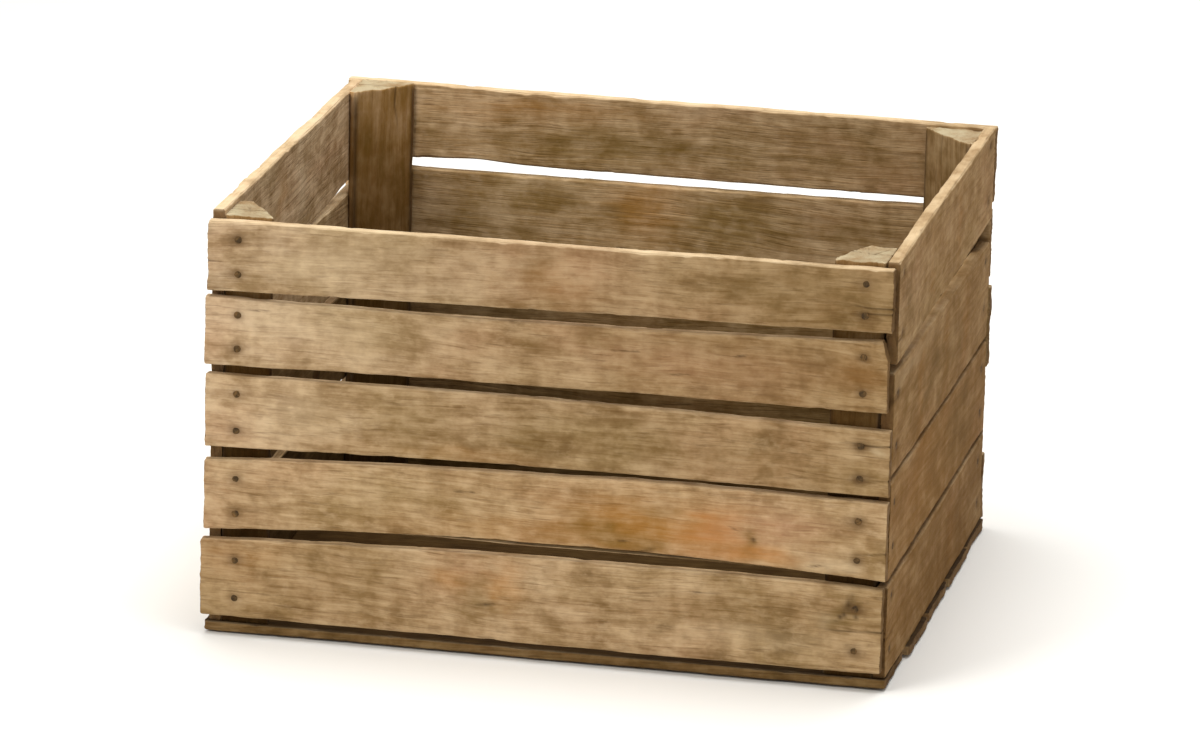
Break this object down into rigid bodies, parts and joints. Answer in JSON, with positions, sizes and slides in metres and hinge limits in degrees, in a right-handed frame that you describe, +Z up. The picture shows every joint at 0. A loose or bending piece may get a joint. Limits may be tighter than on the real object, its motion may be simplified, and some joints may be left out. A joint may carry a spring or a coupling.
{
  "type": "wooden apple crate",
  "caption": "Open slatted crate of sawn boards nailed to three-sided corner posts, for picking, storing and stacking fruit.",
  "frame": {"origin": "middle of the crate's footprint, on the plane that the bottom boards stand on", "axes": "+X along the long side, +Y from the front long side to the back one, +Z up"},
  "size_m": [0.498, 0.42, 0.31],
  "materials": {
    "board_wood": "weathered, rough sawn",
    "post_wood": "weathered, rough sawn",
    "nail_steel": "rusted"
  },
  "bodies": {
    "root": {"front_board_1": "board_wood", "front_board_2": "board_wood", "front_board_3": "board_wood", "front_board_4": "board_wood", "front_board_5": "board_wood", "right_end_board_1": "board_wood", "right_end_board_2": "board_wood", "right_end_board_3": "board_wood", "right_end_board_4": "board_wood", "back_board_1": "board_wood", "back_board_2": "board_wood", "back_board_3": "board_wood", "back_board_4": "board_wood", "back_board_5": "board_wood", "left_end_board_1": "board_wood", "left_end_board_2": "board_wood", "left_end_board_3": "board_wood", "left_end_board_4": "board_wood", "bottom_board_1": "board_wood", "bottom_board_2": "board_wood", "bottom_board_3": "board_wood", "bottom_board_4": "board_wood", "bottom_board_5": "board_wood", "corner_post_front_right": "post_wood", "corner_post_back_right": "post_wood", "corner_post_back_left": "post_wood", "corner_post_front_left": "post_wood", "nails_front": "nail_steel", "nails_right_end": "nail_steel", "nails_back": "nail_steel", "nails_left_end": "nail_steel", "nails_bottom": "nail_steel"}
  },
  "joints": []
}
